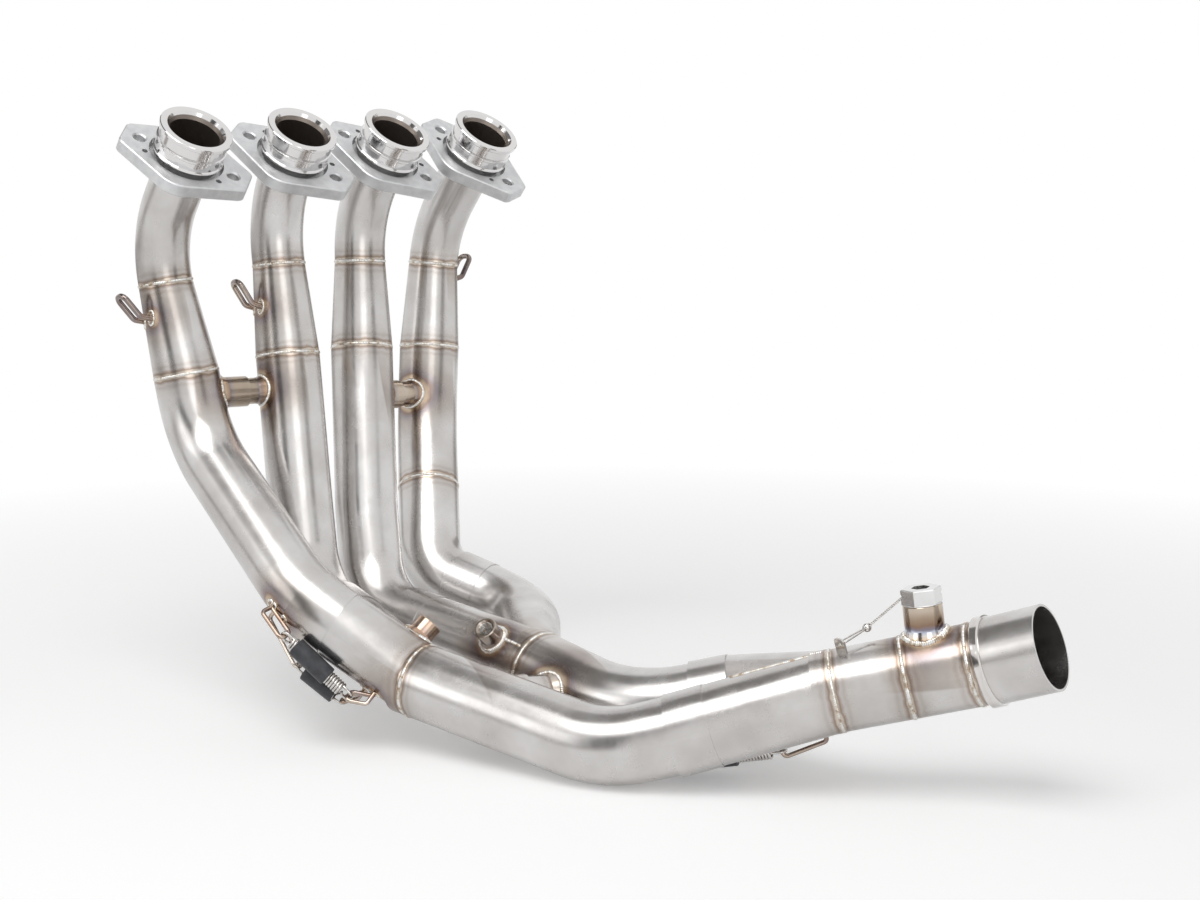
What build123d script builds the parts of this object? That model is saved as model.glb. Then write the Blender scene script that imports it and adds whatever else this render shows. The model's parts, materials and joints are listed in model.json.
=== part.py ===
from math import acos, cos, degrees, radians, sin, tan
import os

from build123d import *

# A four-into-two-into-one exhaust header for a four-cylinder engine, in millimetres.
# +X points to the rear (the outlet), +Y runs along the port row from pipe 1 to pipe 4, +Z is up.
# The routes below are written from a point under the middle of the port row, 416 below the lips.
# The finished header is moved so that its origin is the middle of one lip's edge, because the
# cylinder head holds the header there.
HELD_PIPE = 2

# Tubes: outer radii and wall
WALL = 1.2
UPPER_R = 19.05
PRIMARY_R = 23.25
SECONDARY_R = 25.0
MAIN_R = 25.75
SLEEVE_WALL = 1.5

# Inlet collars, turned from bar
LIP_R = 25.6
LIP_THICK = 3.0
NECK_R = 23.9
BEAD_R = 25.0
COLLAR_LENGTH = 35.0

# Port flanges
FLANGE_DEPTH = 24.0
FLANGE_THICK = 9.5
BOLT_SPACING = 68.0
BOLT_HOLE_R = 4.25
SMALL_HOLE_R = 2.0
FLANGE_HOLE_R = 26.4
RUNNING_GAP = 0.08

# Balance tubes between neighbouring pipes, and the crossover between the two secondaries
BALANCE_R = 9.5
CROSSOVER_R = 12.5

# Springs that hold the slip joints together
COIL_R = 5.0
COIL_PITCH = 2.2
RUBBER_WALL = 1.6
LOOP_R = 3.8
LOOP_WIRE_R = 1.1
HOOK_WIRE_R = 1.5

# Sensor bungs: radii, and heights above the centre line of the tube that they stand on
BUNG_FOOT = 18.0
FAR_BUNG_R = 8.0
FAR_BUNG_TOP = 39.0
FRONT_BUNG_R = 9.0
FRONT_BUNG_TOP = 38.0
SENSOR_BORE_R = 5.1
MAIN_BUNG_R = 12.2
MAIN_BUNG_TOP = 44.0
MAIN_BORE_R = 8.25

# Safety wire, its ferrule and its tab, and the hanger hooks' rod
WIRE_R = 0.85
WIRE_LEG_R = 0.6
CRIMP_R = 2.9
TAB_HOLE_HEIGHT = MAIN_R + 5.65
HANGER_ROD_R = 2.1

# Outlet
OUTLET_R = MAIN_R + 0.95
OUTLET_WALL = 1.5
RING_R = OUTLET_R + 1.5
RING_LENGTH = 7.0

SLEEVE_LENGTH = 26.0
SLIP_OVERLAP = 20.0

# Pipe centre lines from the collar's lip down to the collector, with the radius of each bend
FRONT_OUTLET = (171.5, -72.7, 51.7)
FAR_OUTLET = (193.0, 12.0, 50.0)
MERGE_OUTLET = (421.5, 57.4, 72.1)
PIPES = {
    1: (
        [
            (-0.8, -127.0, 415.6),
            (-62.1, -126.6, 335.5),
            (-41.4, -120.4, 261.4),
            (-30.1, -115.1, 196.2),
            (106.5, -118.7, 101.0),
            FRONT_OUTLET,
        ],
        [75, 300, 77, 90],
    ),
    2: (
        [
            (0.0, -41.0, 415.9),
            (-43.0, -39.5, 358.9),
            (-29.2, -39.4, 257.7),
            (0.1, -50.7, 149.6),
            (22.0, -59.5, 85.0),
            FRONT_OUTLET,
        ],
        [85, 400, 300, 60],
    ),
    3: (
        [
            (0.4, 42.5, 415.9),
            (-46.2, 39.6, 356.3),
            (-39.0, 34.4, 261.1),
            (0.9, 7.6, 136.9),
            (28.0, -6.0, 66.0),
            FAR_OUTLET,
        ],
        [85, 335, 200, 58],
    ),
    4: (
        [
            (2.0, 126.3, 415.6),
            (-59.1, 121.8, 338.1),
            (-55.0, 112.4, 257.5),
            (-45.8, 101.2, 187.7),
            (14.3, 57.1, 83.0),
            (90.0, 85.6, 59.5),
            FAR_OUTLET,
        ],
        [85, 300, 150, 42, 60],
    ),
}
# Distances along each pipe from its lip: upper weld, lower weld, edge of the slip sleeve
UPPER_WELD = {1: 125.0, 2: 109.0, 3: 112.0, 4: 123.0}
LOWER_WELD = {1: 191.0, 2: 175.5, 3: 177.5, 4: 188.5}
SLEEVE_EDGE = {1: 401.0, 2: 384.0, 3: 407.0, 4: 395.5}
PIPE_4_THIRD_WELD = 305.0
PIPE_4_BRANCH_BENT = 486.0
# How far each flange is turned about its collar from the row, and which side its small holes are
FLANGE_TURN = {1: 40.3, 2: 47.8, 3: 46.4, 4: 66.6}
SMALL_HOLE_SIDE = {1: -1, 2: 1, 3: 1, 4: -1}

FRONT_SECONDARY = ([FRONT_OUTLET, (310.6, -35.5, 28.2), (344.6, -8.3, 39.5), MERGE_OUTLET], [80, 100])
FAR_SECONDARY = ([FAR_OUTLET, (279.3, 16.0, 36.0), (317.1, 46.3, 46.4), (353.3, 74.6, 57.6)], [98, 300])
MAIN = ([MERGE_OUTLET, (488.7, 109.4, 92.8), (531.0, 123.1, 108.7)], [80])
FRONT_SLEEVE_FROM = 190.0
FAR_SLEEVE_FROM = 129.0
SECOND_MAIN_WELD = 44.0
THIRD_MAIN_WELD = 86.0
RING_FROM = 92.0

os.makedirs("parts", exist_ok=True)


class Route:
    """A tube's centre line: straight runs joined by round bends, measured from its first point."""

    def __init__(self, points, bend_radii):
        corners = [Vector(*point) for point in points]
        self.runs = []
        here = corners[0]
        for index, radius in enumerate(bend_radii, start=1):
            into = (corners[index] - corners[index - 1]).normalized()
            away = (corners[index + 1] - corners[index]).normalized()
            turn = acos(into.dot(away))
            back = radius * tan(turn / 2)
            bend_start = corners[index] - into * back
            self.runs.append(("straight", here, into, (bend_start - here).length, None, None))
            side = (away - into * into.dot(away)).normalized()
            self.runs.append(("bend", bend_start, into, radius * turn, side, radius))
            here = corners[index] + away * back
        away = (corners[-1] - corners[-2]).normalized()
        self.runs.append(("straight", here, away, (corners[-1] - here).length, None, None))
        self.length = sum(run[3] for run in self.runs)

    def at(self, distance):
        """The point and the direction at a distance along the line."""
        for run in self.runs:
            kind, start, into, length, side, radius = run
            if distance <= length or run is self.runs[-1]:
                break
            distance -= length
        if kind == "straight":
            return start + into * distance, into
        turn = distance / radius
        point = start + into * (radius * sin(turn)) + side * (radius * (1 - cos(turn)))
        return point, into * cos(turn) + side * sin(turn)

    def plane(self, distance):
        """A plane square to the line, facing along it."""
        point, direction = self.at(distance)
        return Plane(origin=point, z_dir=direction)

    def tube(self, start, end, outer, inner=0.0):
        """The tube (or solid rod) between two distances along the line."""
        pieces = []
        passed = 0.0
        for kind, run_start, into, length, side, radius in self.runs:
            first = max(start - passed, 0.0)
            last = min(end - passed, length)
            if last - first > 0.01:
                section = Circle(outer)
                if inner:
                    section = section - Circle(inner)
                face = self.plane(passed + first + 1e-6) * section
                if kind == "straight":
                    pieces.append(extrude(face, amount=last - first, dir=into))
                else:
                    centre = run_start + side * radius
                    bend_axis = Axis(centre, into.cross(side))
                    pieces.append(revolve(face, bend_axis, revolution_arc=degrees((last - first) / radius)))
            passed += length
        body = pieces[0]
        for piece in pieces[1:]:
            body = body + piece
        return body


def ring_bead(route, distance, before, middle, after, half_width=2.0, height=0.9):
    """A weld bead round a tube: the three radii are the metal under its back edge, middle and front.

    Its inner side reaches a little into the metal, to be cut back to it by seated().
    """
    outline = Polyline(
        (before - 0.3, -half_width),
        (before + 0.6 * height, -0.7 * half_width),
        (middle + height, -0.25 * half_width),
        (middle + height, 0.25 * half_width),
        (after + 0.6 * height, 0.7 * half_width),
        (after - 0.3, half_width),
        (middle - 0.3, 0),
        close=True,
    )
    spot = route.plane(distance)
    profile_plane = Plane(origin=spot.origin, x_dir=spot.x_dir, z_dir=-spot.y_dir)
    return revolve(profile_plane * make_face(outline), Axis(spot.origin, spot.z_dir))


def rod(points, radius, bend_radius):
    """A bent round rod through the given points."""
    line = Route(points, [bend_radius] * (len(points) - 2))
    return line.tube(0, line.length, radius)


def straight_plane(start, end):
    """A plane at the start, facing the end."""
    return Plane(origin=start, z_dir=(end - start).normalized())


def wire_hook(foot, knee, tip, spread, width=9.0, bend=3.0):
    """A U of round wire: two legs stand at the foot, turn at the knee and close at the tip."""
    across = spread.normalized() * (width / 2)
    one_leg = [foot - across, knee - across, tip - across]
    other_leg = [tip + across, knee + across, foot + across]
    return rod(one_leg + other_leg, HOOK_WIRE_R, bend)


def spring(start, end):
    """A close-wound coil with a bent-over loop at each end; start and end are the loops' far points."""
    plane = straight_plane(start, end)
    length = (end - start).length
    coil_from = 2 * LOOP_R + LOOP_WIRE_R
    coil_to = length - coil_from
    turns = int((coil_to - coil_from) / COIL_PITCH)
    pitch = (coil_to - coil_from) / turns
    outline = [(0, coil_from), (COIL_R - 0.9, coil_from)]
    for turn in range(turns):
        outline.append((COIL_R, coil_from + (turn + 0.35) * pitch))
        outline.append((COIL_R, coil_from + (turn + 0.65) * pitch))
        outline.append((COIL_R - 0.9, coil_from + (turn + 1) * pitch))
    hollow = [(0, coil_to), (0, coil_to - 1.6), (COIL_R - 2.0, coil_to - 1.6)]
    hollow += [(COIL_R - 2.0, coil_from + 1.6), (0, coil_from + 1.6)]
    profile = make_face(Polyline(*outline, *hollow, close=True))
    body = revolve(Plane.XZ * profile, Axis.Z)
    for height in (LOOP_R + LOOP_WIRE_R, length - LOOP_R - LOOP_WIRE_R):
        body = body + Pos(0, 0, height) * Rot(90, 0, 0) * Torus(LOOP_R, LOOP_WIRE_R)
    return plane * body


def rubber(start, end, first, last):
    """The rubber sleeve over part of a spring, as fractions of its length."""
    plane = straight_plane(start, end)
    length = (end - start).length
    wall = Circle(COIL_R + RUBBER_WALL) - Circle(COIL_R)
    sleeve = Pos(0, 0, first * length) * extrude(wall, amount=(last - first) * length)
    rims = sleeve.edges().filter_by(GeomType.CIRCLE).filter_by(lambda rim: rim.radius > COIL_R + 0.5)
    return plane * chamfer(rims, 0.5)


def cone_between(lower_plane, lower_r, upper_plane, upper_r):
    """A straight-sided solid between two circles in space."""
    facing = upper_plane.z_dir
    level_x = (lower_plane.x_dir - facing * lower_plane.x_dir.dot(facing)).normalized()
    aligned = Plane(origin=upper_plane.origin, x_dir=level_x, z_dir=facing)
    return loft([lower_plane * Circle(lower_r), aligned * Circle(upper_r)], ruled=True)


def shifted(plane, distance):
    """The same plane moved along its own direction."""
    return Plane(origin=plane.origin + plane.z_dir * distance, x_dir=plane.x_dir, z_dir=plane.z_dir)


def near_tube(route, distance, reach, outer):
    """A short solid length of a tube, for cutting what stands on it."""
    return route.tube(max(distance - reach, 0.0), min(distance + reach, route.length), outer)


def seated(piece, *skins):
    """What is left of a piece outside the metal it sits on."""
    for skin in skins:
        piece = piece - skin
    return piece.solids().sort_by(SortBy.VOLUME)[-1]


def save(name, shape):
    moved = Pos(REST.X, REST.Y, REST.Z) * shape
    export_step(moved, f"parts/{name}.step")
    box = moved.bounding_box()
    print(f"{name}: volume {moved.volume:.0f}, from {box.min} to {box.max}, solids {len(moved.solids())}")
    ALL.append(moved)


ALL = []
pipes = {}
for number, (points, radii) in PIPES.items():
    pipes[number] = Route(points, radii)
front_line = Route(*FRONT_SECONDARY)
far_line = Route(*FAR_SECONDARY)
main_line = Route(*MAIN)
held_lip, held_inward = pipes[HELD_PIPE].at(0)
REST = (held_lip + held_inward * (LIP_THICK / 2)) * -1

# Inlet collars: a wide flat lip with a conical mouth, a plain neck, a step ring, a band, and a
# bead just above the flange; the plain skirt below carries the flange on a shoulder.
skirt_top = FLANGE_DEPTH - 0.6
flange_bottom = FLANGE_DEPTH + FLANGE_THICK
collar_outline = [
    (UPPER_R - WALL, COLLAR_LENGTH + 2.0),
    (UPPER_R - WALL, 5.0),
    (20.6, 0.0),
    (LIP_R - 0.5, 0.0),
    (LIP_R, 0.5),
    (LIP_R, LIP_THICK - 0.4),
    (LIP_R - 0.4, LIP_THICK),
    (NECK_R, LIP_THICK + 0.9),
    (NECK_R, 10.2),
    (NECK_R - 0.7, 10.8),
    (NECK_R + 0.8, 11.4),
    (NECK_R + 0.8, 12.8),
    (NECK_R, 13.6),
    (NECK_R, 19.2),
    (BEAD_R - 0.3, 19.9),
    (BEAD_R, 20.8),
    (BEAD_R - 0.3, 21.7),
    (NECK_R, 22.4),
    (22.4, skirt_top - 0.4),
    (22.4, flange_bottom + 0.02),
    (UPPER_R + 0.9, COLLAR_LENGTH + 0.4),
    (UPPER_R, COLLAR_LENGTH + 2.0),
]
flange_seat_r = 22.4
for number, line in pipes.items():
    spot = line.plane(0)
    profile_plane = Plane(origin=spot.origin, x_dir=spot.x_dir, z_dir=-spot.y_dir)
    profile = make_face(Polyline(*collar_outline, close=True))
    collar = revolve(profile_plane * profile, Axis(spot.origin, spot.z_dir))
    save(f"inlet_collar_{number}", collar)

# Port flanges: blunt-ended rhomboids, free to turn a little on their collars.
centre_and_ends = [(0, 19.0, 18.5), (0, -19.0, 18.5)]
for end in (-1, 1):
    for side in (-1, 1):
        centre_and_ends.append((end * 40.0, side * 8.5, 6.0))
outline_circles = []
for x, y, radius in centre_and_ends:
    outline_circles += (Pos(x, y) * Circle(radius)).edges()
flange_outline = make_hull(outline_circles)
for number, line in pipes.items():
    lip, inward = line.at(0)
    outward = inward * -1
    row = Vector(0, 1, 0)
    row = (row - outward * row.dot(outward)).normalized()
    rearward = row.cross(outward)
    turn = radians(FLANGE_TURN[number])
    long_way = row * cos(turn) + rearward * sin(turn)
    flange = extrude(flange_outline, amount=-FLANGE_THICK)
    rims = flange.faces().sort_by(Axis.Z)[-1].edges() + flange.faces().sort_by(Axis.Z)[0].edges()
    flange = chamfer(rims, 0.8)
    tapered = Pos(0, 0, -2.5) * Cone(FLANGE_HOLE_R - 1.4, FLANGE_HOLE_R, 5.0)
    flange = flange - tapered
    flange = flange - Pos(0, 0, -5) * Cylinder(flange_seat_r + RUNNING_GAP, 20)
    for end in (-1, 1):
        bolt = Pos(end * BOLT_SPACING / 2, 0, -FLANGE_THICK / 2) * Cylinder(BOLT_HOLE_R, 20)
        mouth = Pos(end * BOLT_SPACING / 2, 0, -0.5) * Cone(BOLT_HOLE_R, BOLT_HOLE_R + 1.0, 1.0)
        small = Pos(end * 26.6, SMALL_HOLE_SIDE[number] * 13.6, 0) * Cylinder(SMALL_HOLE_R, 12)
        flange = flange - bolt - mouth - small
    top = Plane(origin=lip + inward * FLANGE_DEPTH, x_dir=long_way, z_dir=outward)
    save(f"port_flange_{number}", top * flange)

# Upper bends, cones and primaries, with a bead of weld at every joint.
upper_beads = []
lower_beads = []
for number, line in pipes.items():
    upper = UPPER_WELD[number]
    lower = LOWER_WELD[number]
    bend = line.tube(COLLAR_LENGTH + 2.0, upper, UPPER_R, UPPER_R - WALL)
    save(f"upper_bend_{number}", bend)
    shell = cone_between(line.plane(upper), UPPER_R, line.plane(lower), PRIMARY_R)
    shell = shell - cone_between(line.plane(upper), UPPER_R - WALL, line.plane(lower), PRIMARY_R - WALL)
    save(f"cone_{number}", shell)
    slope = (PRIMARY_R - UPPER_R) / (lower - upper) * 2.0
    cone_skin = cone_between(line.plane(upper), UPPER_R, line.plane(lower), PRIMARY_R)
    upper_skin = near_tube(line, upper - 8.0, 8.0, UPPER_R)
    lower_skin = near_tube(line, lower + 8.0, 8.0, PRIMARY_R)
    bead = ring_bead(line, upper, UPPER_R, UPPER_R, UPPER_R + slope)
    upper_beads.append(seated(bead, cone_skin, upper_skin))
    bead = ring_bead(line, lower, PRIMARY_R - slope, PRIMARY_R, PRIMARY_R)
    lower_beads.append(seated(bead, cone_skin, lower_skin))
    tube_end = SLEEVE_EDGE[number] + SLIP_OVERLAP
    if number == 4:
        primary = line.tube(lower, PIPE_4_THIRD_WELD, PRIMARY_R, PRIMARY_R - WALL)
        save("primary_bend_4", line.tube(PIPE_4_THIRD_WELD, tube_end, PRIMARY_R, PRIMARY_R - WALL))
        bead = ring_bead(line, PIPE_4_THIRD_WELD, PRIMARY_R, PRIMARY_R, PRIMARY_R)
        lower_beads.append(seated(bead, near_tube(line, PIPE_4_THIRD_WELD, 12.0, PRIMARY_R)))
    else:
        primary = line.tube(lower, tube_end, PRIMARY_R, PRIMARY_R - WALL)
    save(f"primary_tube_{number}", primary)
save("upper_weld_beads", Compound(upper_beads))
save("lower_weld_beads", Compound(lower_beads))


def merge_collector(branches, outlet_plane, outlet_r):
    """Two slip sleeves whose bodies grow together into one short round outlet.

    Each branch gives its line, where its sleeve starts, where its straight body starts, and the
    radius of the tube it slips over.
    """
    outer = extrude(shifted(outlet_plane, -12.0) * Circle(outlet_r), amount=12.0)
    bores = [extrude(shifted(outlet_plane, -12.5) * Circle(outlet_r - WALL), amount=13.5)]
    for order, (line, edge, body_from, tube_r) in enumerate(branches):
        sleeve_to = edge + SLEEVE_LENGTH
        body_r = tube_r + WALL - 0.3
        skin = line.tube(edge, sleeve_to, tube_r + SLEEVE_WALL)
        bore = line.tube(edge - 1.0, sleeve_to, tube_r)
        if body_from > sleeve_to + 0.5:
            skin = skin + line.tube(sleeve_to, body_from, body_r)
            bore = bore + line.tube(sleeve_to, body_from, tube_r - 0.3)
        start = line.plane(body_from)
        finish = shifted(outlet_plane, -2.0 - 2.0 * order)
        finish_r = outlet_r - 0.3 - 0.1 * order
        outer = outer + (skin + cone_between(start, body_r, finish, finish_r))
        bores.append(bore + cone_between(start, tube_r - 0.3, finish, finish_r - WALL))
    walls = outer
    for bore in bores:
        walls = walls - bore
    return outer, walls.solids().sort_by(SortBy.VOLUME)[-1]


# Front and far two-into-one collectors.
front_outer, front_collector = merge_collector(
    [
        (pipes[1], SLEEVE_EDGE[1], SLEEVE_EDGE[1] + SLEEVE_LENGTH, PRIMARY_R),
        (pipes[2], SLEEVE_EDGE[2], SLEEVE_EDGE[2] + SLEEVE_LENGTH, PRIMARY_R),
    ],
    front_line.plane(0),
    SECONDARY_R,
)
far_outer, far_collector = merge_collector(
    [
        (pipes[3], SLEEVE_EDGE[3], SLEEVE_EDGE[3] + SLEEVE_LENGTH, PRIMARY_R),
        (pipes[4], SLEEVE_EDGE[4], PIPE_4_BRANCH_BENT, PRIMARY_R),
    ],
    far_line.plane(0),
    SECONDARY_R,
)

# Secondaries, the final collector and the outlet tube.
merge_outer, merge_body = merge_collector(
    [
        (front_line, FRONT_SLEEVE_FROM, FRONT_SLEEVE_FROM + SLEEVE_LENGTH, SECONDARY_R),
        (far_line, FAR_SLEEVE_FROM, FAR_SLEEVE_FROM + SLEEVE_LENGTH, SECONDARY_R),
    ],
    main_line.plane(0),
    MAIN_R + 0.5,
)
save("final_collector", merge_body)
front_end = FRONT_SLEEVE_FROM + SLIP_OVERLAP
far_end = FAR_SLEEVE_FROM + SLIP_OVERLAP
save("front_secondary", front_line.tube(0, front_end, SECONDARY_R, SECONDARY_R - WALL))
save("far_secondary", far_line.tube(0, far_end, SECONDARY_R, SECONDARY_R - WALL))
front_skin = front_line.tube(0, front_end, SECONDARY_R)
far_skin = far_line.tube(0, far_end, SECONDARY_R)
main_skin = main_line.tube(0, THIRD_MAIN_WELD, MAIN_R)
save("main_tube", main_line.tube(0, SECOND_MAIN_WELD, MAIN_R, MAIN_R - WALL))
ring_to = RING_FROM + RING_LENGTH
ring = main_line.tube(RING_FROM - 1.0, ring_to, RING_R)
ring_rims = ring.edges().filter_by(GeomType.CIRCLE)
ring = chamfer(ring_rims, 0.8) - main_line.tube(RING_FROM - 1.0, RING_FROM, MAIN_R)
ring = ring - main_line.tube(RING_FROM, ring_to, MAIN_R - WALL)
save("outlet_ring", ring)
spigot = main_line.tube(ring_to, main_line.length, OUTLET_R, OUTLET_R - OUTLET_WALL)
save("outlet_spigot", spigot)

collector_beads = [
    ring_bead(front_line, 0, SECONDARY_R - 0.4, SECONDARY_R, SECONDARY_R, 3.0, 1.1) - front_outer,
    ring_bead(far_line, 0, SECONDARY_R - 0.4, SECONDARY_R, SECONDARY_R, 3.0, 1.1) - far_outer,
    ring_bead(main_line, 0, MAIN_R, MAIN_R, MAIN_R, 3.0, 1.3) - merge_outer,
    ring_bead(main_line, SECOND_MAIN_WELD, MAIN_R, MAIN_R, MAIN_R, 1.6, 0.7),
    ring_bead(main_line, THIRD_MAIN_WELD, MAIN_R, MAIN_R, MAIN_R, 1.6, 0.7),
]


def between(start, end, start_r, end_r, first, last):
    """A straight piece on the line from start to end, from the first to the last millimetre."""
    plane = straight_plane(start, end)
    height = last - first
    if start_r == end_r:
        return plane * (Pos(0, 0, first + height / 2) * Cylinder(start_r, height))
    return plane * (Pos(0, 0, first + height / 2) * Cone(start_r, end_r, height))


# Balance tubes 1-2 and 3-4: a thin tube whose one end sits in a wider sleeve.
skin_1 = near_tube(pipes[1], 205.0, 60.0, PRIMARY_R)
skin_2 = near_tube(pipes[2], 200.0, 24.0, PRIMARY_R)
skin_3 = near_tube(pipes[3], 209.0, 31.0, PRIMARY_R)
skin_4 = near_tube(pipes[4], 225.0, 36.0, PRIMARY_R)
on_1 = Vector(-35.6, -118.1, 229.0)
on_2 = Vector(-21.5, -42.3, 228.0)
on_3 = Vector(-25.0, 25.0, 217.4)
on_4 = Vector(-48.4, 104.5, 210.0)


def balance_pair(name, start, end, start_skin, end_skin, sleeve_from, sleeve_to, weld_from):
    """A balance tube, its sleeve at the start side and its weld ring at the end side."""
    length = (end - start).length
    tube = between(start, end, BALANCE_R, BALANCE_R, sleeve_from, length)
    tube = tube - between(start, end, BALANCE_R - WALL, BALANCE_R - WALL, sleeve_from, length)
    flare = between(start, end, BALANCE_R, BALANCE_R + 3.0, weld_from, length - 12.0)
    flare = flare - between(start, end, BALANCE_R - WALL, BALANCE_R - WALL, weld_from, length)
    tube = tube + flare - end_skin
    sleeve = between(start, end, BALANCE_R + 1.5, BALANCE_R + 1.5, 12.0, sleeve_to)
    root = between(start, end, BALANCE_R + 4.0, BALANCE_R + 1.5, 18.0, sleeve_from - 3.0)
    sleeve = sleeve + root - between(start, end, BALANCE_R, BALANCE_R, 12.0, sleeve_to) - start_skin
    save(f"balance_tube_{name}", tube.solids().sort_by(SortBy.VOLUME)[-1])
    save(f"balance_sleeve_{name}", sleeve.solids().sort_by(SortBy.VOLUME)[-1])


balance_pair("12", on_1, on_2, skin_1, skin_2, 29.0, 42.0, 49.0)
balance_pair("34", on_3, on_4, skin_3, skin_4, 29.0, 40.0, 54.0)

# Crossover between the two secondaries, made the same way but wider.
cross_start = Vector(212.0, -61.9, 44.9)
cross_end = Vector(236.0, 14.2, 43.2)
cross_length = (cross_end - cross_start).length
cross_tube = between(cross_start, cross_end, CROSSOVER_R, CROSSOVER_R, 30.0, cross_length)
cross_hollow = between(cross_start, cross_end, CROSSOVER_R - WALL, CROSSOVER_R - WALL, 30.0, cross_length)
flare = between(cross_start, cross_end, CROSSOVER_R, CROSSOVER_R + 3.0, cross_length - 27, cross_length - 16)
save("crossover_tube", seated(cross_tube + flare - cross_hollow, far_skin, front_skin))
cross_sleeve = between(cross_start, cross_end, CROSSOVER_R + 1.6, CROSSOVER_R + 1.6, 12.0, 38.0)
cross_sleeve = cross_sleeve - between(cross_start, cross_end, CROSSOVER_R, CROSSOVER_R, 12.0, 38.0)
cross_sleeve = cross_sleeve - front_skin
save("crossover_sleeve", cross_sleeve.solids().sort_by(SortBy.VOLUME)[-1])

# Hanger hooks: a bent rod on the cones of pipes 1, 2 and 4.
for number, distance, outward in ((1, 149.0, -1), (2, 140.0, -1), (4, 134.0, 1)):
    line = pipes[number]
    centre, direction = line.at(distance)
    out = Vector(-0.12, outward, 0)
    out = (out - direction * out.dot(direction)).normalized()
    across = direction.cross(out).normalized() * 6.0
    foot = centre + out * (UPPER_R - 1.0)
    tip = centre + out * (UPPER_R + 17.0) - direction * 20.0
    middle = centre + out * (UPPER_R + 8.0) - direction * 3.0
    rod_line = [foot - across, middle - across, tip - across, tip + across, middle + across, foot + across]
    hook = rod(rod_line, HANGER_ROD_R, 5.0)
    upper = UPPER_WELD[number]
    lower = LOWER_WELD[number]
    skin = cone_between(line.plane(upper), UPPER_R, line.plane(lower), PRIMARY_R)
    save(f"hanger_hook_{number}", (hook - skin).solids().sort_by(SortBy.VOLUME)[-1])


def bung(start, direction, outer, bore, first, last, skin):
    """A threaded sensor boss standing on a tube; the skin is the tube it stands on."""
    direction = direction.normalized()
    plane = Plane(origin=start, z_dir=direction)
    height = last - first
    body = Pos(0, 0, first + height / 2) * Cylinder(outer, height)
    body = chamfer(body.edges().sort_by(Axis.Z)[-1], 0.6)
    body = body + Pos(0, 0, first + 7.5) * Cone(outer + 2.4, outer, 6.0)
    body = plane * body - skin
    mouth = Pos(0, 0, last - 0.6) * Cone(bore, bore + 1.2, 1.2)
    hole = Pos(0, 0, first + height / 2) * Cylinder(bore, height)
    body = body - plane * (hole + mouth)
    return body.solids().sort_by(SortBy.VOLUME)[-1]


# Sensor bungs: two open ones on the collectors, and the large plugged one on the tail.
far_bung_axis = Vector(0.2, -0.69, 0.70)
far_bung_start = Vector(163.3, 8.8, 52.1)
far_bung = bung(
    far_bung_start, far_bung_axis, FAR_BUNG_R, SENSOR_BORE_R, BUNG_FOOT, FAR_BUNG_TOP, far_outer
)
save("far_bung", far_bung)
near_bung_axis = Vector(0.15, 0.72, 0.68)
near_bung_start = Vector(145.0, -76.0, 58.0)
front_bung = bung(
    near_bung_start, near_bung_axis, FRONT_BUNG_R, SENSOR_BORE_R, BUNG_FOOT, FRONT_BUNG_TOP, front_outer
)
save("front_bung", front_bung)
plug_axis = Vector(-0.10, -0.08, 0.99)
plug_base = Vector(465.9, 91.7, 85.8)
save("main_bung", bung(plug_base, plug_axis, MAIN_BUNG_R, MAIN_BORE_R, BUNG_FOOT, MAIN_BUNG_TOP, main_skin))

# Bung plug: a threaded shank, a flanged hexagon with a socket, and a cross hole for the wire.
plug_plane = Plane(origin=plug_base, x_dir=(0.6756, 0.7373, 0.12), z_dir=plug_axis.normalized())
plug = Pos(0, 0, 38.4) * Cylinder(MAIN_BORE_R, 8.8)
plug = plug + Pos(0, 0, 43.5) * Cylinder(12.0, 1.4)
hexagon = extrude(RegularPolygon(12.6, 6), amount=9.6)
plug = plug + Pos(0, 0, 44.2) * chamfer(hexagon.edges().group_by(Axis.Z)[-1], 0.7)
plug = plug - Pos(0, 0, 47.0) * extrude(RegularPolygon(5.8, 6), amount=8.0)
plug = plug - Pos(0, 0, 49.5) * Rot(0, 90, 0) * Cylinder(1.1, 40)
plug = plug - Pos(0, 0, 43.4) * (Cylinder(20, 1.2) - Cylinder(MAIN_BORE_R, 1.2))
save("bung_plug", plug_plane * plug)

# Safety wire: twisted from the plug's corner to a crimped ferrule, then doubled down to its tab.
wire_start = plug_plane.from_local_coords((-12.2, 0, 49.5))
wire_eye = plug_plane.from_local_coords((-3.0, 0, 49.5))
crimp_at = Vector(430.7, 73.8, 111.0)
tab_up = Vector(-0.03, -0.334, 0.944).normalized()
tab_base = Vector(428.5, 62.8, 74.2)
tab_hole = tab_base + tab_up * TAB_HOLE_HEIGHT
wire_line = [wire_eye, wire_start + Vector(-1.8, -2.2, 0.0), crimp_at]
wire = rod(wire_line, WIRE_R, 1.5)
along = (tab_hole - crimp_at).normalized()
beside = along.cross(tab_up).normalized()
for side in (-1, 1):
    leg = [crimp_at + beside * side * 0.8, tab_hole - along * 3.0 + beside * side * 2.4]
    leg.append(tab_hole + along * 1.2 + beside * side * 0.4)
    wire = wire + rod(leg, WIRE_LEG_R, 1.5)
tab_plane = Plane(origin=tab_base, x_dir=beside, z_dir=tab_up)
tab = tab_plane * (Pos(0, 0, TAB_HOLE_HEIGHT - 1.4) * Box(9.0, 1.4, 10.0))
corners = tab.edges().filter_by(lambda edge: abs((edge % 0.5).dot(tab_plane.y_dir)) > 0.99)
corners = corners.filter_by(lambda edge: (edge @ 0.5 - tab_base).dot(tab_up) > TAB_HOLE_HEIGHT)
tab = fillet(corners, 3.0)
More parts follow.
